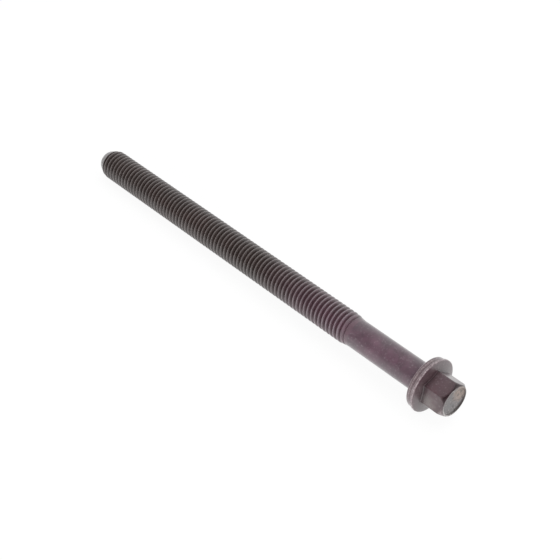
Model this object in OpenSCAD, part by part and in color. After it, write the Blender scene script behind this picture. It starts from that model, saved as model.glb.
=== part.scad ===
// Cylinder head bolt: a flange, a tall hexagon with a dished top, a plain shank and a long rolled thread.
// Units are millimetres. The bolt lies on a flat floor at z = 0, resting on its flange and its first full crest.
// The axis runs along X and the head is towards +X, raised by the small angle at which such a bolt lies.

/* [Thread] */
// Diameter over the thread's crests
thread_crest_d = 12.4; // [11.6:0.1:12.7]
// Advance of the right-hand thread in one turn
thread_pitch = 1.954; // [1.75:0.001:2.1]
// Depth from crest to root
thread_depth = 1.15; // [0.9:0.05:1.25]
// Width of the flat on the crest
thread_crest_w = 0.45; // [0.3:0.05:0.6]
// Flats round one turn of the thread
thread_sides = 24; // [16:2:24]
// Direction in which the first ridge starts, measured round the axis from the downward side
thread_turn = 225; // [0:1:359]

/* [Lengths below the head] */
// From the bearing face to the bolt's end
under_head_l = 181.6; // [150:0.1:190]
// Plain shank, from the bearing face to the run-out
shank_l = 33.6; // [10:0.1:60]
// Run-out, where the crests narrow to the shank and the grooves fade
runout_l = 4.8; // [3:0.1:7]
// Part of the run-out beside the shank that has no groove
runout_plain_l = 1; // [0.5:0.1:2]

/* [Shank and end] */
// Diameter of the plain shank
shank_d = 11.1; // [10:0.1:11.4]
// Radius of the fillet under the head
neck_fillet_r = 0.6; // [0.2:0.1:1]
// Diameter of the flat at the bolt's end
tip_d = 8.7; // [7:0.1:9.5]
// Diameter at the end of the point's plain chamfer, where the thread starts
tip_chamfer_d = 10.3; // [9.6:0.1:11]
// Length of the plain chamfer
tip_chamfer_l = 1.7; // [1:0.1:2.5]
// Length over which the first crests grow from the chamfer to their full diameter
tip_taper_l = 3.1; // [2:0.1:6]

/* [Flange] */
// Diameter of the flange's front lip
flange_d = 21.2; // [19:0.1:24]
// Diameter of the flange's rear band, beside the bearing face
flange_rear_d = 20.2; // [18:0.1:23]
// Height of the lip's front edge above the bearing face
flange_rim_h = 3.1; // [2.8:0.1:3.6]
// Width of the lip
flange_lip_w = 0.8; // [0.4:0.1:1]
// Height of the groove between the rear band and the lip
flange_groove_h = 1.9; // [1:0.1:2]
// Width of that groove on the side of the rear band
flange_groove_w = 0.2; // [0.1:0.05:0.3]
// Depth of that groove below the rear band
flange_groove_depth = 0.1; // [0.05:0.05:0.3]
// Bevel on the lip's front edge
lip_bevel = 0.25; // [0.1:0.05:0.4]
// Height at which the sloping front of the flange meets the hexagon's corners
flange_cone_h = 3.8; // [3.7:0.1:4.9]
// Bevel between the bearing face and the rear band
bearing_bevel = 0.25; // [0.1:0.05:0.5]

/* [Hexagon] */
// Distance across the flats
hex_af = 12.7; // [12:0.1:14]
// Height of the head's top above the bearing face
head_h = 13.4; // [11:0.1:15]
// Direction of one corner, measured round the axis from the downward side
hex_turn = 49; // [0:1:59]
// Diameter of the circle where the corner chamfer meets the top rim
hex_top_d = 12; // [11:0.1:12.6]
// Drop of the chamfer below the top at the hexagon's corners
hex_chamfer_drop = 1.9; // [0.8:0.1:2.5]
// Width of the flat rim round the dished top
dish_rim_w = 0.5; // [0.4:0.1:1.5]
// Depth of the dish
dish_depth = 0.4; // [0.3:0.1:1.2]
// Slope of the dish's wall, as the width it takes up
dish_wall_w = 0.2; // [0.1:0.1:0.6]

/* [Hidden] */
// Fine facets for the arcs and circles
$fa = 3;
$fs = 0.25;
// Colour of the oiled phosphate finish
steel_color = [0.38, 0.34, 0.34];
hex_sides = 6;
full_turn = 360;
quarter_turn = 90;
// Steps in the neck fillet's arc
fillet_steps = 6;

thread_r = thread_crest_d / 2;
shank_r = shank_d / 2;
flange_r = flange_d / 2;
flange_rear_r = flange_rear_d / 2;
tip_r = tip_d / 2;
tip_chamfer_r = tip_chamfer_d / 2;
hex_r = hex_af / 2 / cos(full_turn / hex_sides / 2);
hex_top_r = hex_top_d / 2;
// Length by which joined solids run into each other
overlap = thread_pitch / 10;
// Amount by which the thread's roots and ends stay inside the round faces that they meet
inset = thread_pitch / 50;

// The flange's sloping front runs through the hexagon's corners and on under its flats
cone_foot_r = flange_r - lip_bevel;
cone_foot_h = flange_rim_h + lip_bevel / 2;
cone_slope = (flange_cone_h - cone_foot_h) / (cone_foot_r - hex_r);
cone_top_r = hex_af / 2 - overlap;
cone_top_h = flange_cone_h + cone_slope * (hex_r - cone_top_r);

// Places along the axis, from the bearing face: positive towards the head's top
runout_z = -shank_l - runout_l;
thread_top_z = -shank_l - runout_plain_l;
tip_z = -under_head_l;
thread_end_z = tip_z + tip_chamfer_l;
full_thread_z = thread_end_z + tip_taper_l;

// How the bolt lies: the lip and the first full crest touch the floor
lie_angle = atan((flange_r - thread_r) / (flange_rim_h - full_thread_z));
axis_h = flange_r * cos(lie_angle) - flange_rim_h * sin(lie_angle);
// Shift along X that puts the middle of the whole length at x = 0
front_x = head_h * cos(lie_angle) + hex_top_r * sin(lie_angle);
back_x = tip_z * cos(lie_angle) - tip_r * sin(lie_angle);
mid_x = (front_x + back_x) / 2;

// Radius of the crests at height z: they grow from the chamfer, and narrow to the shank in the run-out
function crest_r(z) =
    z > runout_z ? thread_r - (thread_r - shank_r) * (z - runout_z) / runout_l
    : let (t = min(1, max(0, (z - thread_end_z) / tip_taper_l)))
        tip_chamfer_r + (thread_r - tip_chamfer_r) * (1 - pow(1 - t, 2));

// Radius of the roots at height z: even along the thread, and rising to meet the crests in the run-out
root_low_r = thread_r - thread_depth;
root_rise = (crest_r(thread_top_z) - root_low_r) / (thread_top_z - runout_z);
function root_r(z) = min(crest_r(z) - inset, root_low_r + max(0, z - runout_z) * root_rise);

// The thread's surface is a net: one row of points for each flat round the axis, running from end to end.
// Each turn adds three points to a row: the crest's two edges and the root between crests.
// One more point at each end of a row lies inside the neighbouring solid, so that the bodies join.
turns = floor((thread_top_z - thread_end_z) / thread_pitch) - 1;
points_per_turn = 3;
row_points = turns * points_per_turn;
row = row_points + 2;
crest_half = thread_crest_w / 2;
thread_start_z = thread_end_z + inset;
start_ring_r = tip_chamfer_r - (tip_chamfer_r - tip_r) * overlap / tip_chamfer_l - inset;
end_ring_r = shank_r - inset;

// Height of point number m in the row at side j
function net_z(j, m) =
    let (turn = floor(m / points_per_turn), kind = m % points_per_turn)
    let (base = thread_start_z + thread_pitch * (turn + j / thread_sides))
    base + (kind == 0 ? thread_pitch / 2 - crest_half : kind == 1 ? thread_pitch / 2 + crest_half : thread_pitch);
function net_r(j, m) =
    let (z = net_z(j, m))
    m % points_per_turn == 2 ? root_r(z) : crest_r(z);
function on_circle(r, j, z) =
    let (angle = full_turn * j / thread_sides)
    [r * cos(angle), r * sin(angle), z];

module thread() {
    points = [
        for (j = [0 : thread_sides - 1])
            for (m = [-1 : row_points])
                m < 0 ? on_circle(start_ring_r, j, thread_end_z - overlap)
                : m == row_points ? on_circle(end_ring_r, j, thread_top_z + overlap)
                : on_circle(net_r(j, m), j, net_z(j, m))
    ];
    // Two triangles between neighbouring rows for each step along them
    side_faces = [
        for (j = [0 : thread_sides - 2])
            for (m = [0 : row - 2])
                let (a = j * row + m, b = (j + 1) * row + m)
                each [[a, b + 1, b], [a, a + 1, b + 1]]
    ];
    // The last row meets the first one a whole turn further on
    s = (thread_sides - 1) * row;
    seam_faces = [
        for (m = [1 : row_points - points_per_turn])
            let (a = s + m, b = m + points_per_turn)
            each [[a, b + 1, b], [a, a + 1, b + 1]]
    ];
    // Fans that close the seam's two ends
    start_fan = [
        [s, s + 1, 1 + points_per_turn],
        for (k = [0 : points_per_turn]) [s, k + 1, k]
    ];
    end_fan = [
        for (k = [row_points - points_per_turn + 1 : row_points]) [s + k, s + k + 1, row - 1]
    ];
    caps = [
        [for (j = [0 : thread_sides - 1]) j * row],
        [for (j = [thread_sides - 1 : -1 : 0]) j * row + row - 1]
    ];
    rotate([0, 0, thread_turn])
        polyhedron(points, concat(side_faces, seam_faces, start_fan, end_fan, caps), convexity = 10);
}

module tip() {
    translate([0, 0, tip_z])
        cylinder(tip_chamfer_l, tip_r, tip_chamfer_r);
}

// End of the run-out, shank, fillet and flange as one turned profile
module shank_and_flange() {
    fillet = [
        for (i = [0 : fillet_steps])
            let (t = quarter_turn * i / fillet_steps)
            [shank_r + neck_fillet_r * (1 - cos(t)), -neck_fillet_r * (1 - sin(t))]
    ];
    rotate_extrude()
        polygon(concat(
            [[0, thread_top_z], [crest_r(thread_top_z), thread_top_z], [shank_r, -shank_l]],
            fillet,
            [
                [flange_rear_r - bearing_bevel, 0],
                [flange_rear_r, bearing_bevel],
                [flange_rear_r, flange_groove_h - flange_groove_w],
                [flange_rear_r - flange_groove_depth, flange_groove_h],
                [flange_r, flange_rim_h - flange_lip_w],
                [flange_r, flange_rim_h],
                [cone_foot_r, cone_foot_h],
                [cone_top_r, cone_top_h],
                [0, cone_top_h]
            ]
        ));
}

module hexagon() {
    top_in = hex_top_r - dish_rim_w;
    top_floor = top_in - dish_wall_w;
    slope = (hex_r - hex_top_r) / hex_chamfer_drop;
    intersection() {
        rotate([0, 0, hex_turn])
            translate([0, 0, flange_cone_h - overlap])
                cylinder(head_h - flange_cone_h + overlap, r = hex_r, $fn = hex_sides);
        rotate_extrude()
            polygon([
                [0, 0],
                [hex_r + overlap, 0],
                [hex_r + overlap, head_h - hex_chamfer_drop - overlap / slope],
                [hex_top_r, head_h],
                [top_in, head_h],
                [top_floor, head_h - dish_depth],
                [0, head_h - dish_depth]
            ]);
    }
}

module bolt() {
    color(steel_color)
        translate([-mid_x, 0, axis_h])
            rotate([0, quarter_turn - lie_angle, 0]) {
                tip();
                thread();
                shank_and_flange();
                hexagon();
            }
}

bolt();
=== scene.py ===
# Cylinder head bolt with a fine rolled thread and an oiled phosphate finish, lying on a pale studio floor.
# Lengths are millimetres until a mesh is made. The bolt is built along +Z, with the bearing face at zero and
# the head above it, then laid down as the solid lies in the frame.
import math
import bmesh
import bpy
from mathutils import Matrix, Vector


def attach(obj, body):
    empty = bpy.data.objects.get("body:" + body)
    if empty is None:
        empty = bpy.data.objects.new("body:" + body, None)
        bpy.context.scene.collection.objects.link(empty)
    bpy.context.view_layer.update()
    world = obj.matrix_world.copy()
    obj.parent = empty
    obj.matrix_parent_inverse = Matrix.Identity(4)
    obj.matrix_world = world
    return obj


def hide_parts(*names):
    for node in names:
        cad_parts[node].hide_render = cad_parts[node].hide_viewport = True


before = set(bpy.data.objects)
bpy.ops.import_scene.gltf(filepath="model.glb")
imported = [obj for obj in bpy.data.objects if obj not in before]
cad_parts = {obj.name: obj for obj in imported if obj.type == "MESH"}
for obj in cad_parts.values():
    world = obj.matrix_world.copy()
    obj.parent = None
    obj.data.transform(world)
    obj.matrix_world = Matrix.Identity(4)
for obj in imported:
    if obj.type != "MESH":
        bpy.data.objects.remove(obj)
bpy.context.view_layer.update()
mm = 0.001
mergeReach = 0.002  # points of the bolt that are closer than this are one

# Sizes of the bolt, the same as in the solid
bolt = {
    "crestRadius": 6.2,
    "pitch": 1.954,
    "threadDepth": 1.15,
    "crestWidth": 0.45,
    "crestRounding": 0.05,
    "rootRounding": 0.25,
    "crestWear": 0.6,  # how far the crests are rubbed, from 0 to 1
    "flankAngle": 60,
    "columns": 96,  # points round the axis
    "rowsPerPitch": 12,
    "seamAngle": 47,  # where the rolled grid closes, measured from the downward side
    "ridgePhase": 0.49,  # share of a turn by which the ridges are turned
    "tipZ": -181.6,
    "tipRadius": 4.35,
    "tipChamferRadius": 5.15,
    "tipChamferLength": 1.7,
    "tipSlope": 0.47,  # growth of the first crests, beyond the chamfer
    "tipRounding": 0.8,
    "tipBend": 0.3,
    "tipRing": 2.0,
    "tipRunIn": 4.8,  # from the point to the first full crest
    "runOutZ": -38.5,  # here the crests start to narrow to the shank
    "threadTopZ": -33.6,
    "lastBand": 0.15,
    "shankTopZ": -33.3,
    "shankRadius": 5.55,
    "shankRings": (-26, -20, -14, -6, -1.6),
    "neckFillet": 0.6,
}
flange = {
    "radius": 10.6,
    "rearRadius": 10.1,
    "rimHeight": 3.1,
    "lipWidth": 0.8,
    "grooveHeight": 1.9,
    "grooveWidth": 0.2,
    "grooveDepth": 0.1,
    "lipBevel": 0.25,
    "coneHeight": 3.8,
    "coneMiddle": 9.2,  # radius of the ring halfway down the sloping front
    "bearingBevel": 0.25,
    "bearingBand": 0.9,
    "brightBand": 0.3,
}
hexagon = {
    "acrossFlats": 12.7,
    "cornerTurn": 49,
    "cornerRounding": 0.45,
    "footWidth": 0.2,  # forged fillet round the hexagon's root
    "footHeight": 0.3,
    "footBend": 0.1,
    "footSpread": 0.6,  # how far the painted shade of the crease reaches out onto the flange
    "rootShade": ((0.7, 0.42), (1.5, 0.3), (3, 0.12)),  # height above the foot, and how much painted shade there is
    "chamferShade": 1.0,  # how far below the chamfer its dark edge starts
    "headHeight": 13.4,
    "topRadius": 6.0,
    "chamferDrop": 1.9,
    "rimWidth": 0.5,
    "rimMiddle": 0.22,  # from the rim's outer edge
    "dishDepth": 0.4,
    "dishWall": 0.2,
    "crowding": 0.7,  # how far the columns crowd towards the corners, from 0 to 1
    "unshadedFrom": 8.6,  # from here the flats are free of the painted shade at the root
    "edgesFrom": 11,  # edges above this height get a painted highlight on one side only, and painted shade on the other sides
    "highlightSide": 310,  # where the rim gets its painted highlight, and where its painted shade is darkest
    "shadedSide": 40,
}


def linearColor(hexText):
    # sRGB hex to linear red, green, blue and alpha
    parts = [int(hexText[i:i + 2], 16) / 255 for i in (1, 3, 5)]
    return [p / 12.92 if p <= 0.04045 else ((p + 0.055) / 1.055) ** 2.4 for p in parts] + [1.0]


def addNode(tree, kind, settings=None, inputs=None):
    # One node with its settings. An input is a value, a socket to link, or a node, of which the first output in
    # use is linked.
    node = tree.nodes.new(kind)
    for key, value in (settings or {}).items():
        setattr(node, key, value)
    for key, value in (inputs or {}).items():
        if isinstance(value, bpy.types.Node):
            value = next(socket for socket in value.outputs if socket.enabled)
        if isinstance(value, bpy.types.NodeSocket):
            tree.links.new(value, node.inputs[key])
        else:
            node.inputs[key].default_value = value
    return node


# How the bolt lies: the flange's lip and the first full crest touch the floor
firstFullCrest = bolt["tipZ"] + bolt["tipRunIn"]
lieAngle = math.atan((flange["radius"] - bolt["crestRadius"]) / (flange["rimHeight"] - firstFullCrest))
axisHeight = flange["radius"] * math.cos(lieAngle) - flange["rimHeight"] * math.sin(lieAngle)
frontX = hexagon["headHeight"] * math.cos(lieAngle) + hexagon["topRadius"] * math.sin(lieAngle)
backX = bolt["tipZ"] * math.cos(lieAngle) - bolt["tipRadius"] * math.sin(lieAngle)
layDown = (
    Matrix.Translation(Vector((-(frontX + backX) / 2, 0, axisHeight)) * mm)
    @ Matrix.Rotation(math.pi / 2 - lieAngle, 4, "Y")
    @ Matrix.Scale(mm, 4)
)

# Camera, at the photograph's angle
camera = {
    "target": (7.21, 1.96, 6.0), "azimuth": 47.18, "elevation": 42.13, "distance": 511.0, "lens": 85.8, "film": 36,
}
turn = math.radians(camera["azimuth"])
rise = math.radians(camera["elevation"])
lookBack = Vector((math.sin(turn) * math.cos(rise), -math.cos(turn) * math.cos(rise), math.sin(rise)))
cameraData = bpy.data.cameras.new("photoCamera")
cameraData.lens = camera["lens"]
cameraData.sensor_width = camera["film"]
cameraData.clip_start = 0.01
cameraObject = bpy.data.objects.new("photoCamera", cameraData)
cameraObject.location = (Vector(camera["target"]) + lookBack * camera["distance"]) * mm
cameraObject.rotation_euler = lookBack.to_track_quat("Z", "Y").to_euler()
bpy.context.scene.collection.objects.link(cameraObject)
bpy.context.scene.camera = cameraObject
print("camera placed")

# Colours of the finish: clouds of the coating from dark to light, stain, grime with painted shade in grooves and
# creases, and the paler metal where edges and crests are rubbed, which also paints a highlight on one side of the
# head's top edge. Two colours stand for the point's end and the head's end.
threadLook = {
    "dark": ("#2c2523", "#49323c"), "light": ("#3e3634", "#5f4651"), "stain": ("#3d302e", "#463c3f"),
    "grimeAndShade": ("#2a1e1c", "#492f38"), "rubbedAndHighlight": ("#5b5351", "#80707a"),
    "roughness": 0.35, "grain": 0.05, "oil": 1.0, "specks": 0.1, "grimeAndShadeShare": 0.8, "cloud": 7.14, "seed": 1.0,
    "evenness": 0.95,
}
shankLook = {
    "dark": "#38202d", "light": "#5c404e", "stain": "#41323a", "grimeAndShade": "#2c1f22", "rubbedAndHighlight": "#988b92",
    "roughness": 0.36, "grain": 0.4, "oil": 1.0, "specks": 0.3, "grimeAndShadeShare": 0.9, "cloud": 7.14, "seed": 3.0,
    "evenness": 0.3,
}
# On the head and its top the grime colour also paints the shade in the creases, on the chamfer and on the rim's
# far side, and the rubbed colour paints a highlight on one side of the top's edge
headLook = {
    "dark": "#3c2730", "light": "#534345", "stain": "#472d34", "grimeAndShade": "#1a0c10", "rubbedAndHighlight": "#b9adaf",
    "roughness": 0.34, "grain": 0.3, "oil": 1.0, "specks": 0.15, "grimeAndShadeShare": 1.0, "cloud": 7.14, "seed": 1.0,
    "evenness": 0.3, "dryGrime": 0.4, "blotch": "#6b6462", "blotchPlace": (91.0, -6.5, 10.0), "blotchReach": 4.0,
}
topLook = {
    "dark": "#292c30", "light": "#5a5452", "stain": "#4b4244", "grimeAndShade": "#251917", "rubbedAndHighlight": "#cfc8c6",
    "roughness": 0.45, "grain": 0.6, "oil": 0.9, "specks": 0.25, "grimeAndShadeShare": 0.95, "cloud": 3.0, "seed": 9.0,
    "evenness": 0.5, "dryGrime": 0.5, "blotch": "#78604f", "blotchPlace": (96.6, 3.4, 13.2), "blotchReach": 5.0,
    "pits": 0.5,
}
# Sizes of the patterns in mm. The crystals are too fine to show, so they are drawn ten times as coarse.
patterns = {
    "stainPatch": 11.7647, "raggedEdge": 2.38095, "raggedness": 7.0, "blotchEdge": 3.0, "crystals": 0.625,
    "crystalHeight": 0.06, "rubbedSpecks": 0.76923, "pits": 1.25, "colorTurn": 50.0,
}


def makePhosphate(name, look):
    # Manganese phosphate on heat-treated steel, oiled: dark matte crystals under a thin film of oil, which
    # stays dark when seen square on and shines softly along the sides
    material = bpy.data.materials.new(name)
    material.use_nodes = True
    tree = material.node_tree
    tree.nodes.clear()
    place = addNode(tree, "ShaderNodeTexCoord").outputs["Object"]
    fourWay = {"noise_dimensions": "4D"}
    noise = {"Vector": place, "W": look["seed"], "Roughness": 0.6}
    scales = {key: 1 / (size * mm) for key, size in patterns.items()}
    # A mix of colours takes its share at input 0 and its two colours at inputs 6 and 7
    colors = {"data_type": "RGBA"}

    # The coating turns from grey-brown at the point to purple-brown towards the head
    along = addNode(tree, "ShaderNodeSeparateXYZ", None, {0: place}).outputs["X"]
    towardsHead = addNode(tree, "ShaderNodeMapRange", None, {
        "Value": along, "From Min": 0.0, "From Max": patterns["colorTurn"] * mm})
    shades = {}
    for key in ("dark", "light", "stain", "grimeAndShade", "rubbedAndHighlight"):
        if isinstance(look[key], str):
            shades[key] = linearColor(look[key])
        else:
            atPoint, atHead = [linearColor(color) for color in look[key]]
            shades[key] = addNode(tree, "ShaderNodeMix", colors, {0: towardsHead, 6: atPoint, 7: atHead})

    # Broad clouds where the oil has run, and patches of stain
    cloud = addNode(tree, "ShaderNodeTexNoise", fourWay, noise | {
        "Scale": 1 / (look["cloud"] * mm), "Detail": 6, "Roughness": 0.7})
    cloudy = addNode(tree, "ShaderNodeMapRange", None, {"Value": cloud, "From Min": 0.35, "From Max": 0.65})
    color = addNode(tree, "ShaderNodeMix", colors, {0: cloudy, 6: shades["dark"], 7: shades["light"]})
    patches = addNode(tree, "ShaderNodeTexNoise", fourWay, noise | {"Scale": scales["stainPatch"], "Detail": 3})
    stained = addNode(tree, "ShaderNodeMapRange", None, {
        "Value": patches, "From Min": 0.45, "From Max": 0.62, "To Max": 0.8})
    color = addNode(tree, "ShaderNodeMix", colors, {0: stained, 6: color, 7: shades["stain"]})

    if "blotch" in look:
        # A patch of another colour with ragged edges, round a given place
        centre = [v * mm for v in look["blotchPlace"]]
        away = addNode(tree, "ShaderNodeVectorMath", {"operation": "DISTANCE"}, {0: place, 1: centre})
        edge = addNode(tree, "ShaderNodeTexNoise", fourWay, noise | {"Scale": scales["raggedEdge"], "Detail": 4})
        ragged = addNode(tree, "ShaderNodeMath", {"operation": "MULTIPLY_ADD"}, {
            0: edge, 1: patterns["raggedness"] * mm, 2: away})
        outer = look["blotchReach"] + patterns["raggedness"] / 2
        inner = outer - patterns["blotchEdge"]
        blotched = addNode(tree, "ShaderNodeMapRange", None, {
            "Value": ragged, "From Min": outer * mm, "From Max": inner * mm, "To Max": 0.75})
        color = addNode(tree, "ShaderNodeMix", colors, {0: blotched, 6: color, 7: linearColor(look["blotch"])})

    # Scattered rubbed specks
    specks = addNode(tree, "ShaderNodeTexNoise", fourWay, noise | {"Scale": scales["rubbedSpecks"]})
    speckled = addNode(tree, "ShaderNodeMapRange", None, {
        "Value": specks, "From Min": 0.56, "From Max": 0.7, "To Max": look["specks"]})
    color = addNode(tree, "ShaderNodeMix", colors, {0: speckled, 6: color, 7: shades["rubbedAndHighlight"]})

    # Grime and painted shade in the thread's roots and in the creases, and grime in the pits of the forged surface
    deep = addNode(tree, "ShaderNodeAttribute", {"attribute_name": "grooveDepth"}).outputs["Fac"]
    if "pits" in look:
        pits = addNode(tree, "ShaderNodeTexNoise", fourWay, noise | {"Scale": scales["pits"], "Detail": 1})
        pitted = addNode(tree, "ShaderNodeMapRange", None, {
            "Value": pits, "From Min": 0.5, "From Max": 0.62, "To Max": look["pits"]})
        deep = addNode(tree, "ShaderNodeMath", {"operation": "MAXIMUM"}, {0: deep, 1: pitted})
    grimedAndShaded = addNode(tree, "ShaderNodeMapRange", None, {
        "Value": deep, "From Min": 0.1, "From Max": 0.75, "To Max": look["grimeAndShadeShare"]})
    color = addNode(tree, "ShaderNodeMix", colors, {0: grimedAndShaded, 6: color, 7: shades["grimeAndShade"]})

    # Rubbed crests and edges, broken up by the crystals; on the head's top edge this is also a painted highlight
    # on one side
    crystals = addNode(tree, "ShaderNodeTexNoise", fourWay, noise | {"Scale": scales["crystals"]})
    broken = addNode(tree, "ShaderNodeMapRange", None, {
        "Value": crystals, "From Min": 0.38, "From Max": 0.6, "To Min": look["evenness"], "To Max": 1.1})
    wornAndHighlit = addNode(tree, "ShaderNodeAttribute", {"attribute_name": "edgeWearAndHighlight"}).outputs["Fac"]
    rubbedAndHighlight = addNode(tree, "ShaderNodeMath", {"operation": "MULTIPLY", "use_clamp": True}, {0: wornAndHighlit, 1: broken})
    color = addNode(tree, "ShaderNodeMix", colors, {0: rubbedAndHighlight, 6: color, 7: shades["rubbedAndHighlight"]})

    # Grime dulls the oil's shine
    oil = look["oil"]
    if "dryGrime" in look:
        oil = addNode(tree, "ShaderNodeMapRange", None, {
            "Value": deep, "From Min": 0.1, "From Max": 0.75, "To Min": look["oil"], "To Max": look["dryGrime"]})
    dulled = addNode(tree, "ShaderNodeMapRange", None, {
        "Value": cloud, "From Min": 0.3, "From Max": 0.7,
        "To Min": look["roughness"] - 0.06, "To Max": look["roughness"] + 0.06})
    bump = addNode(tree, "ShaderNodeBump", None, {
        "Height": crystals, "Strength": look["grain"], "Distance": patterns["crystalHeight"] * mm})
    surface = addNode(tree, "ShaderNodeBsdfPrincipled", None, {
        "Base Color": color, "Roughness": dulled, "Normal": bump, "Coat Weight": oil, "Coat Roughness": 0.3})
    addNode(tree, "ShaderNodeOutputMaterial", None, {"Surface": surface})
    return material


threadFinish = makePhosphate("phosphatedRolledThread", threadLook)
shankFinish = makePhosphate("phosphatedShank", shankLook)
headFinish = makePhosphate("phosphatedForgedHead", headLook)
topFinish = makePhosphate("phosphatedDishedTop", topLook)
print("materials made")


def buildThreadTree():
    # Geometry nodes: a grid rolled round the axis, sheared by one pitch a turn, with its radius set by the
    # thread's section
    tree = bpy.data.node_groups.new("rolledThread", "GeometryNodeTree")
    face = tree.interface
    face.new_socket("Geometry", in_out="INPUT", socket_type="NodeSocketGeometry")
    face.new_socket("Geometry", in_out="OUTPUT", socket_type="NodeSocketGeometry")
    for name in ("Crest Radius", "Pitch", "Depth", "Crest Width", "Crest Rounding", "Root Rounding", "Crest Wear",
                 "Flank Slope", "Start", "End", "Start Radius", "Start Slope", "Start Rounding", "Run Out",
                 "Shank Top", "Shank Radius", "First Angle", "Ridge Phase"):
        face.new_socket(name, in_out="INPUT", socket_type="NodeSocketFloat")
    for name in ("Columns", "Rows Per Pitch", "Rows"):
        face.new_socket(name, in_out="INPUT", socket_type="NodeSocketInt")
    face.new_socket("Material", in_out="INPUT", socket_type="NodeSocketMaterial")
    given = addNode(tree, "NodeGroupInput").outputs
    sumNode = "ShaderNodeMath"
    plus, minus, times, over, larger, smaller, smoothLarger, smoothSmaller = ({"operation": name} for name in (
        "ADD", "SUBTRACT", "MULTIPLY", "DIVIDE", "MAXIMUM", "MINIMUM", "SMOOTH_MAX", "SMOOTH_MIN"))
    clamped = {"use_clamp": True}

    # Flat grid of one unit each way, which gives each point its share of a turn and its row
    columnsUp = addNode(tree, sumNode, plus, {0: given["Columns"], 1: 1})
    rowsUp = addNode(tree, sumNode, plus, {0: given["Rows"], 1: 1})
    grid = addNode(tree, "GeometryNodeMeshGrid", None, {
        "Size X": 1.0, "Size Y": 1.0, "Vertices X": columnsUp, "Vertices Y": rowsUp})
    position = addNode(tree, "GeometryNodeInputPosition")
    place = addNode(tree, "ShaderNodeSeparateXYZ", None, {0: position}).outputs
    around = addNode(tree, sumNode, plus, {0: place["X"], 1: 0.5})
    upGrid = addNode(tree, sumNode, plus, {0: place["Y"], 1: 0.5})
    row = addNode(tree, sumNode, times, {0: upGrid, 1: given["Rows"]})
    row = addNode(tree, sumNode, {"operation": "ROUND"}, {0: row})

    # Height along the axis, with each row rising by one pitch in a turn and held between the two ends
    turns = addNode(tree, sumNode, over, {0: row, 1: given["Rows Per Pitch"]})
    turns = addNode(tree, sumNode, minus, {0: turns, 1: 1.0})
    height = addNode(tree, sumNode, plus, {0: turns, 1: around})
    height = addNode(tree, sumNode, times, {0: height, 1: given["Pitch"]})
    height = addNode(tree, sumNode, plus, {0: given["Start"], 1: height})
    height = addNode(tree, sumNode, smaller, {0: height, 1: given["End"]})
    height = addNode(tree, sumNode, larger, {0: height, 1: given["Start"]})

    # Section: a narrow crest and straight flanks, as a depth below the crests
    phase = addNode(tree, sumNode, plus, {0: turns, 1: given["Ridge Phase"]})
    phase = addNode(tree, sumNode, {"operation": "FRACT"}, {0: phase})
    fromCrest = addNode(tree, sumNode, minus, {0: phase, 1: 0.5})
    fromCrest = addNode(tree, sumNode, {"operation": "ABSOLUTE"}, {0: fromCrest})
    fromCrest = addNode(tree, sumNode, times, {0: fromCrest, 1: given["Pitch"]})
    halfCrest = addNode(tree, sumNode, times, {0: given["Crest Width"], 1: 0.5})
    down = addNode(tree, sumNode, minus, {0: fromCrest, 1: halfCrest})
    down = addNode(tree, sumNode, times, {0: down, 1: given["Flank Slope"]})

    # In the run-out the grooves close up as the crests narrow towards the shank
    toEnd = addNode(tree, sumNode, minus, {0: given["End"], 1: height})
    runOut = addNode(tree, sumNode, minus, {0: given["End"], 1: given["Run Out"]})
    fade = addNode(tree, sumNode, over | clamped, {0: toEnd, 1: runOut})
    closing = addNode(tree, sumNode, {"operation": "POWER"}, {0: fade, 1: 0.6})
    closing = addNode(tree, sumNode, minus, {0: 1.0, 1: closing})
    lift = addNode(tree, sumNode, times, {0: given["Depth"], 1: 1.13})
    lift = addNode(tree, sumNode, times, {0: closing, 1: lift})
    down = addNode(tree, sumNode, minus, {0: down, 1: lift})
    down = addNode(tree, sumNode, smoothLarger, {0: down, 1: 0.0, 2: given["Crest Rounding"]})
    down = addNode(tree, sumNode, smoothSmaller, {0: down, 1: given["Depth"], 2: given["Root Rounding"]})
    down = addNode(tree, sumNode, larger, {0: down, 1: 0.0})
    lastGroove = addNode(tree, sumNode, times | clamped, {0: fade, 1: 8.0})
    down = addNode(tree, sumNode, times, {0: down, 1: lastGroove})

    # They open a little above the chamfer, whose end is a true circle
    aboveStart = addNode(tree, sumNode, minus, {0: height, 1: given["Start"]})
    firstGroove = addNode(tree, sumNode, times | clamped, {0: aboveStart, 1: 4.0})
    down = addNode(tree, sumNode, times, {0: down, 1: firstGroove})
    shankStep = addNode(tree, sumNode, minus, {0: given["Crest Radius"], 1: given["Shank Radius"]})
    narrowing = addNode(tree, "ShaderNodeMapRange", {"interpolation_type": "SMOOTHSTEP"}, {
        "Value": height, "From Min": given["Run Out"], "From Max": given["Shank Top"], "To Max": shankStep})
    section = addNode(tree, sumNode, minus, {0: given["Crest Radius"], 1: narrowing})
    section = addNode(tree, sumNode, minus, {0: section, 1: down})

    # The chamfered point cuts the first crests down
    point = addNode(tree, sumNode, times, {0: aboveStart, 1: given["Start Slope"]})
    point = addNode(tree, sumNode, plus, {0: given["Start Radius"], 1: point})
    point = addNode(tree, sumNode, smoothSmaller, {0: point, 1: given["Crest Radius"], 2: given["Start Rounding"]})
    radius = addNode(tree, sumNode, smaller, {0: section, 1: point})

    # Rolled round the axis
    angle = addNode(tree, sumNode, times, {0: around, 1: 2 * math.pi})
    angle = addNode(tree, sumNode, plus, {0: given["First Angle"], 1: angle})
    cosine = addNode(tree, sumNode, {"operation": "COSINE"}, {0: angle})
    sine = addNode(tree, sumNode, {"operation": "SINE"}, {0: angle})
    sideways = addNode(tree, sumNode, times, {0: radius, 1: cosine})
    forwards = addNode(tree, sumNode, times, {0: radius, 1: sine})
    onAxis = addNode(tree, "ShaderNodeCombineXYZ", None, {"X": sideways, "Y": forwards, "Z": height})
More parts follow.
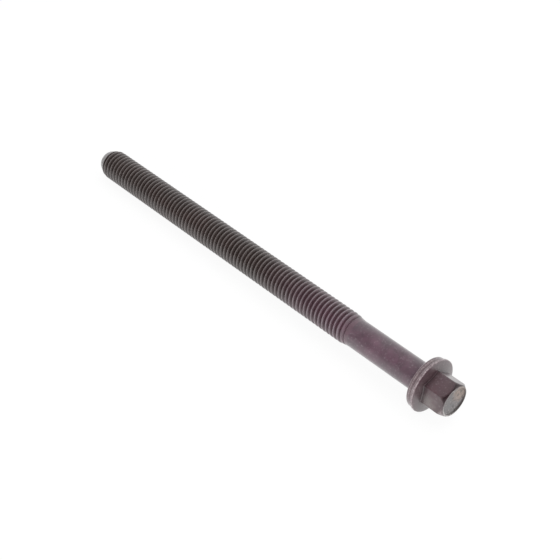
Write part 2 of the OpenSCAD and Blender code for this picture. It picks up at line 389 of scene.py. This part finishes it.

    # Crests are rubbed, less so in the run-out, and the roots get grime with painted shade
    depthShare = addNode(tree, sumNode, over, {0: down, 1: given["Depth"]})
    crestWear = addNode(tree, sumNode, times, {0: depthShare, 1: 9.0})
    crestWear = addNode(tree, sumNode, minus | clamped, {0: 1.0, 1: crestWear})
    wearReach = addNode(tree, sumNode, {"operation": "MULTIPLY_ADD"} | clamped, {0: fade, 1: 1.6, 2: -0.6})
    wearReach = addNode(tree, sumNode, times, {0: wearReach, 1: given["Crest Wear"]})
    crestWear = addNode(tree, sumNode, times, {0: crestWear, 1: wearReach})
    perPoint = {"data_type": "FLOAT", "domain": "POINT"}
    stored = addNode(tree, "GeometryNodeStoreNamedAttribute", perPoint, {
        "Geometry": grid, "Name": "grooveDepth", "Value": depthShare})
    stored = addNode(tree, "GeometryNodeStoreNamedAttribute", perPoint, {
        "Geometry": stored, "Name": "edgeWearAndHighlight", "Value": crestWear})
    rolled = addNode(tree, "GeometryNodeSetPosition", None, {"Geometry": stored, "Position": onAxis})
    merged = addNode(tree, "GeometryNodeMergeByDistance", None, {"Geometry": rolled, "Distance": mergeReach})
    smooth = addNode(tree, "GeometryNodeSetShadeSmooth", None, {"Geometry": merged, "Shade Smooth": True})
    real = addNode(tree, "GeometryNodeRealizeInstances", None, {"Geometry": smooth})
    dressed = addNode(tree, "GeometryNodeSetMaterial", None, {"Geometry": real, "Material": given["Material"]})
    addNode(tree, "NodeGroupOutput", None, {0: dressed})
    return tree


def makeThreadMesh():
    tree = buildThreadTree()
    start = bolt["tipZ"] + bolt["tipChamferLength"]
    length = bolt["threadTopZ"] - start
    values = {
        "Crest Radius": bolt["crestRadius"], "Pitch": bolt["pitch"], "Depth": bolt["threadDepth"],
        "Crest Width": bolt["crestWidth"], "Crest Rounding": bolt["crestRounding"],
        "Root Rounding": bolt["rootRounding"], "Crest Wear": bolt["crestWear"],
        "Flank Slope": math.tan(math.radians(bolt["flankAngle"])),
        "Start": start, "End": bolt["threadTopZ"], "Start Radius": bolt["tipChamferRadius"],
        "Start Slope": bolt["tipSlope"], "Start Rounding": bolt["tipRounding"], "Run Out": bolt["runOutZ"],
        "Shank Top": bolt["shankTopZ"], "Shank Radius": bolt["shankRadius"],
        "First Angle": math.radians(bolt["seamAngle"]), "Ridge Phase": bolt["ridgePhase"],
        "Columns": bolt["columns"], "Rows Per Pitch": bolt["rowsPerPitch"],
        "Rows": math.ceil((length / bolt["pitch"] + 1) * bolt["rowsPerPitch"]), "Material": threadFinish,
    }
    carrier = bpy.data.objects.new("threadCarrier", bpy.data.meshes.new("threadCarrier"))
    bpy.context.scene.collection.objects.link(carrier)
    modifier = carrier.modifiers.new("rolledThread", "NODES")
    modifier.node_group = tree
    for socket in tree.interface.items_tree:
        if socket.in_out == "INPUT" and socket.name in values:
            modifier[socket.identifier] = values[socket.name]
    ready = carrier.evaluated_get(bpy.context.evaluated_depsgraph_get())
    mesh = bpy.data.meshes.new_from_object(ready)
    carrier.modifiers.remove(modifier)
    bpy.data.objects.remove(carrier)
    return mesh


def roundedPath(corners, steps=4):
    # corners holds radius, height, cut, wear, grime with painted shade, and finish: a corner with a cut becomes a
    # short curve, which takes less than half of the way to the next corner
    path = []
    for i, (r, z, cut, wear, grimeAndShade, finish) in enumerate(corners):
        if not cut:
            path.append((r, z, wear, grimeAndShade, finish))
            continue
        here = Vector((r, z))
        before = Vector(corners[i - 1][:2]) - here
        after = Vector(corners[i + 1][:2]) - here
        first = here + before.normalized() * min(cut, before.length * 0.45)
        last = here + after.normalized() * min(cut, after.length * 0.45)
        for k in range(steps + 1):
            t = k / steps
            spot = first * (1 - t) ** 2 + here * (2 * t * (1 - t)) + last * t ** 2
            middle = 1 - abs(2 * t - 1)
            path.append((spot.x, spot.y, wear * middle, grimeAndShade * (0.5 + 0.5 * middle), finish))
    return path


def crestReach(z):
    # Radius of the crests in the run-out, where they narrow to the shank
    share = min(1, max(0, (z - bolt["runOutZ"]) / (bolt["shankTopZ"] - bolt["runOutZ"])))
    return bolt["crestRadius"] - (bolt["crestRadius"] - bolt["shankRadius"]) * share * share * (3 - 2 * share)


def coneZ(radius):
    # Height of the flange's sloping front at this radius
    sharpCorner = hexagon["acrossFlats"] / math.sqrt(3)
    footR = flange["radius"] - flange["lipBevel"]
    footZ = flange["rimHeight"] + flange["lipBevel"] / 2
    return footZ + (flange["coneHeight"] - footZ) * (footR - radius) / (footR - sharpCorner)


def hexReach(angle):
    # Distance from the axis to the hexagon's rounded outline at this angle from a corner
    half = hexagon["acrossFlats"] / 2
    rounding = hexagon["cornerRounding"]
    fromCorner = (angle + math.pi / 6) % (math.pi / 3) - math.pi / 6
    centre = (half - rounding) / math.cos(math.pi / 6)
    limit = math.atan2(rounding * 0.5, centre + rounding * math.cos(math.pi / 6))
    if abs(fromCorner) < limit:
        return centre * math.cos(fromCorner) + math.sqrt(rounding ** 2 - (centre * math.sin(fromCorner)) ** 2)
    return half / math.cos(math.pi / 6 - abs(fromCorner))


def headSection(angle):
    # The bolt's outline from the end of the thread to the middle of the head's top, at this angle from a corner.
    # Each row has radius, height, cut of the bend, wear, grime and finish. The grime column is painted shade in
    # the creases at the neck and the hexagon's root, on the flange's front, on the chamfer and along the top's
    # rim.
    sharpCorner = hexagon["acrossFlats"] / math.sqrt(3)
    reach = hexReach(angle)
    top = hexagon["headHeight"]
    chamferZ = top - (reach - hexagon["topRadius"]) * hexagon["chamferDrop"] / (sharpCorner - hexagon["topRadius"])
    topIn = hexagon["topRadius"] - hexagon["rimWidth"]
    floorR = topIn - hexagon["dishWall"]
    floorZ = top - hexagon["dishDepth"]
    lip = flange["radius"]
    rear = flange["rearRadius"]
    rim = flange["rimHeight"]
    bevel = flange["lipBevel"]
    shank = bolt["shankRadius"]
    middle = flange["coneMiddle"]
    foot = reach + hexagon["footWidth"]
    footTop = coneZ(foot) + hexagon["footHeight"]
    spread = foot + hexagon["footSpread"]
    bend = hexagon["footBend"]
    overlap = bolt["threadTopZ"] + bolt["lastBand"]
    thread, plain, head, dished = range(4)
    return roundedPath(
        [(crestReach(z), z, 0, 0, 0, thread) for z in (bolt["threadTopZ"], overlap)]
        + [(shank, z, 0, 0, 0, plain) for z in (bolt["shankTopZ"], *bolt["shankRings"])]
        + [
            (shank, 0, bolt["neckFillet"], 0, 0.5, head),
            (rear - flange["bearingBevel"], 0, 0.08, 0, 0, head),
            (rear, flange["bearingBevel"], 0.15, 0.45, 0, head),
            (rear, flange["bearingBand"], 0, 0.35, 0, head),
            (rear, flange["grooveHeight"] - flange["grooveWidth"], 0.08, 0.45, 0, head),
            (rear - flange["grooveDepth"], flange["grooveHeight"], 0.1, 0.6, 0.1, head),
            (lip, rim - flange["lipWidth"], 0.2, 0.6, 0, head),
            (lip, rim - flange["brightBand"], 0, 0.7, 0, head),
            (lip, rim, 0.2, 1, 0, head),
            (lip - bevel, rim + bevel / 2, 0.12, 0.4, 0.2, head),
            (middle, coneZ(middle), 0, 0.08, 0.3, head),
            (spread, coneZ(spread), 0, 0.06, 0.35, head),
            (foot, coneZ(foot), bend, 0, 0.8, head),
            (foot - 0.8 * bend, footTop - bend, bend, 0, 0.5, head),
            (reach, footTop + 2 * bend, 2 * bend, 0, 0.85, head),
        ]
        + [(reach, footTop + up, 0, 0, grimeAndShade, head) for up, grimeAndShade in hexagon["rootShade"]]
        + [
            (reach, hexagon["unshadedFrom"], 0, 0, 0, head),
            (reach, chamferZ - hexagon["chamferShade"], 0, 0, 0.25, head),
            (reach, chamferZ, 0.16, 0.3, 0.5, head),
            ((reach + hexagon["topRadius"]) / 2, (chamferZ + top) / 2, 0, 0.4, 0.8, head),
            (hexagon["topRadius"], top, 0.12, 1, 0.9, dished),
            (hexagon["topRadius"] - hexagon["rimMiddle"], top, 0, 1, 0.9, dished),
            (topIn, top, 0.12, 0.8, 0.9, dished),
            (floorR, floorZ, 0.1, 0.2, 0.5, dished),
            (floorR - 0.3, floorZ, 0, 0, 0, dished),
        ]
        + [(floorR * share, floorZ, 0, 0, 0, dished) for share in (0.75, 0.5, 0.25)]
        + [(0, floorZ, 0, 0, 0, dished)]
    )[:-1]


def addRings(mesh, rings, closeAt, finishes):
    # rings is a list of closed rings, each a list of points with their wear and their grime with painted shade;
    # closeAt is the point that ends them
    wearLayer = mesh.verts.layers.float["edgeWearAndHighlight"]
    grimeAndShadeLayer = mesh.verts.layers.float["grooveDepth"]
    made = []
    for ring in rings:
        made.append([mesh.verts.new(point) for point, wear, grimeAndShade in ring])
        for vert, (point, wear, grimeAndShade) in zip(made[-1], ring):
            vert[wearLayer] = wear
            vert[grimeAndShadeLayer] = grimeAndShade
    count = len(rings[0])
    for n, (low, high) in enumerate(zip(made, made[1:])):
        for j in range(count):
            k = (j + 1) % count
            mesh.faces.new((low[j], low[k], high[k], high[j])).material_index = finishes[n]
    end = mesh.verts.new(closeAt)
    for j in range(count):
        mesh.faces.new((made[-1][j], made[-1][(j + 1) % count], end)).material_index = finishes[-1]


def addHead(mesh):
    # Shank, flange and hexagon in rings, from the end of the thread to the middle of the dish
    columns = bolt["columns"]
    firstAngle = math.radians(hexagon["cornerTurn"])
    seamShift = math.radians(bolt["seamAngle"] - hexagon["cornerTurn"])
    even = [2 * math.pi * j / columns for j in range(columns)]
    # Columns crowd towards the hexagon's corners above the shank, and meet the thread's own columns below it
    crowded = [a - hexagon["crowding"] * math.sin(6 * a) / 6 for a in even]
    sections = [headSection(a) for a in crowded]
    twistFrom, twistTo = bolt["shankRings"][0], bolt["shankRings"][3]
    onTop = sections[0][-1][4]
    rings = []
    for n, spot in enumerate(sections[0]):
        share = min(1, max(0, (spot[1] - twistFrom) / (twistTo - twistFrom)))
        ring = []
        for j in range(columns):
            angle = firstAngle + crowded[j] * share + (even[j] + seamShift) * (1 - share)
            r, height, wear, grimeAndShade, finish = sections[j][n]
            if height > hexagon["edgesFrom"] and wear:
                # Painted highlight and shade: the top's edge and chamfer are painted pale on one side, the top's
                # rim is painted dark on the far side, and the chamfer is painted dark away from the pale side
                rubbedAndHighlight = max(0, math.cos(angle - math.radians(hexagon["highlightSide"]))) ** 2
                far = min(1, max(0, 0.35 + 1.3 * math.cos(angle - math.radians(hexagon["shadedSide"]))))
                if finish == onTop:
                    wear, grimeAndShade = wear * max(rubbedAndHighlight, 0.25 * (1 - far)), grimeAndShade * far
                else:
                    wear, grimeAndShade = wear * rubbedAndHighlight, grimeAndShade * (1 - rubbedAndHighlight)
            ring.append(((r * math.cos(angle), r * math.sin(angle), height), wear, grimeAndShade))
        rings.append(ring)
    floorMiddle = (0, 0, hexagon["headHeight"] - hexagon["dishDepth"])
    addRings(mesh, rings, floorMiddle, [spot[4] for spot in sections[0]])


def addPoint(mesh):
    # The chamfered point, from the start of the thread to the middle of the flat end
    columns = bolt["columns"]
    firstAngle = math.radians(bolt["seamAngle"])
    section = roundedPath([
        (bolt["tipChamferRadius"], bolt["tipZ"] + bolt["tipChamferLength"], 0, 0, 0, 0),
        (bolt["tipRadius"], bolt["tipZ"], bolt["tipBend"], 0.5, 0, 0),
        (bolt["tipRing"], bolt["tipZ"], 0, 0, 0.2, 0),
        (0, bolt["tipZ"], 0, 0, 0, 0),
    ])[:-1]
    angles = [firstAngle - 2 * math.pi * j / columns for j in range(columns)]
    rings = [
        [((r * math.cos(a), r * math.sin(a), z), wear, grimeAndShade) for a in angles]
        for r, z, wear, grimeAndShade, finish in section
    ]
    addRings(mesh, rings, (0, 0, bolt["tipZ"]), [0] * len(rings))


threadMesh = makeThreadMesh()
print("thread made:", len(threadMesh.polygons), "faces")
work = bmesh.new()
work.from_mesh(threadMesh)
# The thread's finish is the first of the four
for item in work.faces:
    item.material_index = 0
addPoint(work)
addHead(work)
bmesh.ops.remove_doubles(work, verts=work.verts, dist=mergeReach)
work.transform(layDown)
for item in work.faces:
    item.smooth = True
openEdges = sum(1 for edge in work.edges if not edge.is_manifold)
triangles = sum(len(item.verts) - 2 for item in work.faces)
boltMesh = bpy.data.meshes.new("headBolt")
work.to_mesh(boltMesh)
work.free()
for finish in (threadFinish, shankFinish, headFinish, topFinish):
    if finish.name not in boltMesh.materials:
        boltMesh.materials.append(finish)
boltObject = bpy.data.objects.new("headBolt", boltMesh)
bpy.context.scene.collection.objects.link(boltObject)
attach(boltObject, "root")
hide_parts("bolt")
print("bolt made:", triangles, "triangles,", openEdges, "open edges")

# Floor: pale, white to the camera and in reflections, with the bolt's soft shadow kept
studio = {
    "floorColor": "#f7f7f7", "floorGlow": 0.93, "floorReach": 3.0,
    "brightSide": -0.45, "darkSide": 0.9, "darkest": 0.1, "lean": 0.15,
    "lamps": {  # place, width and height in metres, and watts
        "overheadBox": ((0.1, 0.15, 1.0), (1.0, 1.0), 8),
        "nearBox": ((0.2, -1.0, 0.3), (0.8, 0.5), 8),
        "frontBox": ((0.95, 0.1, 0.4), (0.6, 0.5), 4),
    },
}
floorMaterial = bpy.data.materials.new("paintedStudioFloor")
floorMaterial.use_nodes = True
floorTree = floorMaterial.node_tree
floorTree.nodes.clear()
rays = addNode(floorTree, "ShaderNodeLightPath").outputs
seen = addNode(floorTree, "ShaderNodeMath", {"operation": "MAXIMUM"}, {
    0: rays["Is Camera Ray"], 1: rays["Is Glossy Ray"]})
share = addNode(floorTree, "ShaderNodeMath", {"operation": "MULTIPLY"}, {0: seen, 1: studio["floorGlow"]})
paint = addNode(floorTree, "ShaderNodeBsdfDiffuse", None, {"Color": linearColor(studio["floorColor"])})
glow = addNode(floorTree, "ShaderNodeEmission", None, {"Color": (1, 1, 1, 1), "Strength": 1.0})
both = addNode(floorTree, "ShaderNodeMixShader", None, {0: share, 1: paint, 2: glow})
addNode(floorTree, "ShaderNodeOutputMaterial", None, {"Surface": both})
floorMesh = bpy.data.meshes.new("studioFloor")
reach = studio["floorReach"]
corners = [(-reach, -reach, 0), (reach, -reach, 0), (reach, reach, 0), (-reach, reach, 0)]
floorMesh.from_pydata(corners, [], [(0, 1, 2, 3)])
floorMesh.materials.append(floorMaterial)
floorObject = bpy.data.objects.new("studioFloor", floorMesh)
bpy.context.scene.collection.objects.link(floorObject)

# Light: a room that is white behind the bolt and dim behind the camera, a little less so from above, and soft
# boxes that light the bolt without a mirrored glare
room = bpy.data.worlds.new("studioRoom")
room.use_nodes = True
bpy.context.scene.world = room
roomTree = room.node_tree
roomTree.nodes.clear()
upper = lookBack.cross(Vector((1, 0, 0))).normalized()
towardsDark = (lookBack - studio["lean"] * upper).normalized()
aim = addNode(roomTree, "ShaderNodeVectorMath", {"operation": "DOT_PRODUCT"}, {
    0: addNode(roomTree, "ShaderNodeTexCoord").outputs["Generated"], 1: towardsDark})
walls = addNode(roomTree, "ShaderNodeMapRange", None, {
    "Value": aim, "From Min": studio["brightSide"], "From Max": studio["darkSide"],
    "To Min": 1.0, "To Max": studio["darkest"]})
air = addNode(roomTree, "ShaderNodeBackground", None, {"Color": (1, 1, 1, 1), "Strength": walls})
addNode(roomTree, "ShaderNodeOutputWorld", None, {"Surface": air})
for name, (place, size, watts) in studio["lamps"].items():
    data = bpy.data.lights.new(name, "AREA")
    data.shape = "RECTANGLE"
    data.size, data.size_y = size
    data.energy = watts
    lamp = bpy.data.objects.new(name, data)
    lamp.location = place
    lamp.rotation_euler = Vector(place).to_track_quat("Z", "Y").to_euler()
    lamp.visible_glossy = False
    bpy.context.scene.collection.objects.link(lamp)
bpy.context.scene.view_settings.view_transform = "Standard"
print("stage made")
